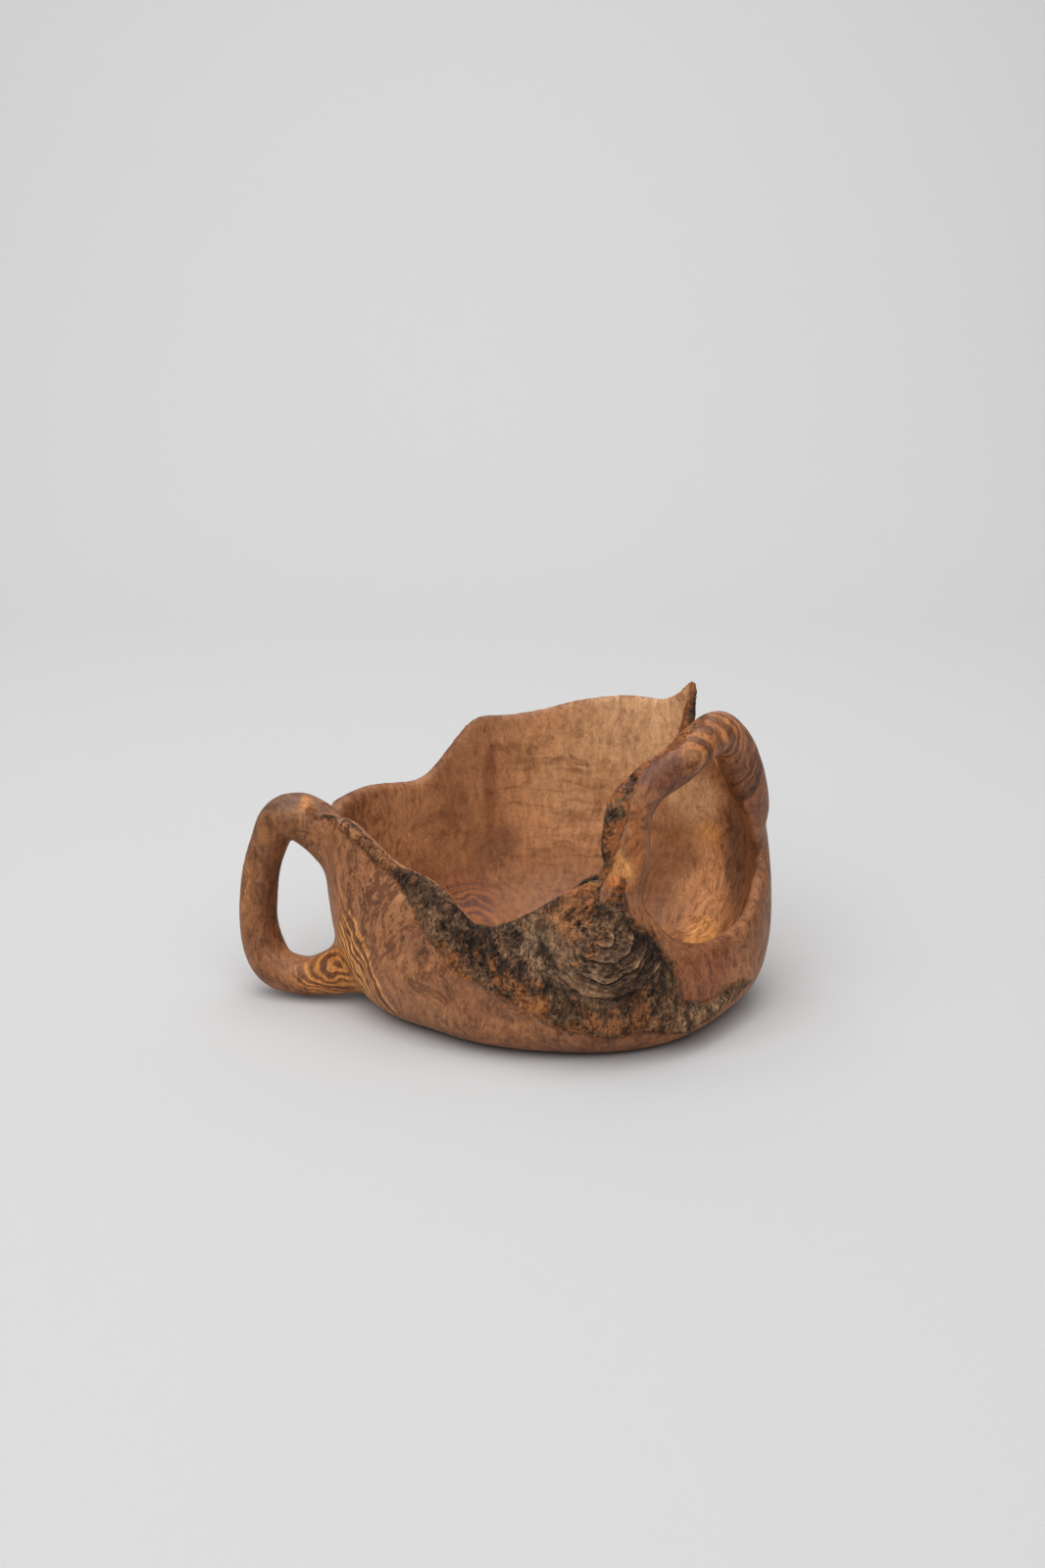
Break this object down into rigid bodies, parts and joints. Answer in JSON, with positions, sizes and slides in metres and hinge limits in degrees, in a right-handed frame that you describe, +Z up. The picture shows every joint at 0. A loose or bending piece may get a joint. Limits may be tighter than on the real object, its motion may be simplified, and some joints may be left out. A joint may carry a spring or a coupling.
{
  "type": "centerpiece bowl",
  "caption": "Free-form bowl carved from burl wood, with a high wavy back, a low bark-edged front, a loop handle at one end and an arched handle over a window at the other.",
  "frame": {"origin": "middle of the bottom of the whole bowl, on the surface it stands on", "axes": "+X along the bowl towards the arched handle, +Y towards the high back, +Z up; the low bark edge is at -Y"},
  "size_m": [0.4526, 0.3212, 0.2654],
  "materials": {
    "wood": "oiled satin, figured burl",
    "bark": "rough natural bark"
  },
  "bodies": {
    "root": {"bowl_shell": "wood", "left_handle": "wood", "right_handle": "wood", "bark_rim_strip": "bark", "bark_front_band": "bark", "bark_knot": "bark", "bark_lower_fringe": "bark", "bark_horn_edge": "bark", "bark_post_strip": "bark", "bark_arch_ridge": "bark"}
  },
  "joints": []
}
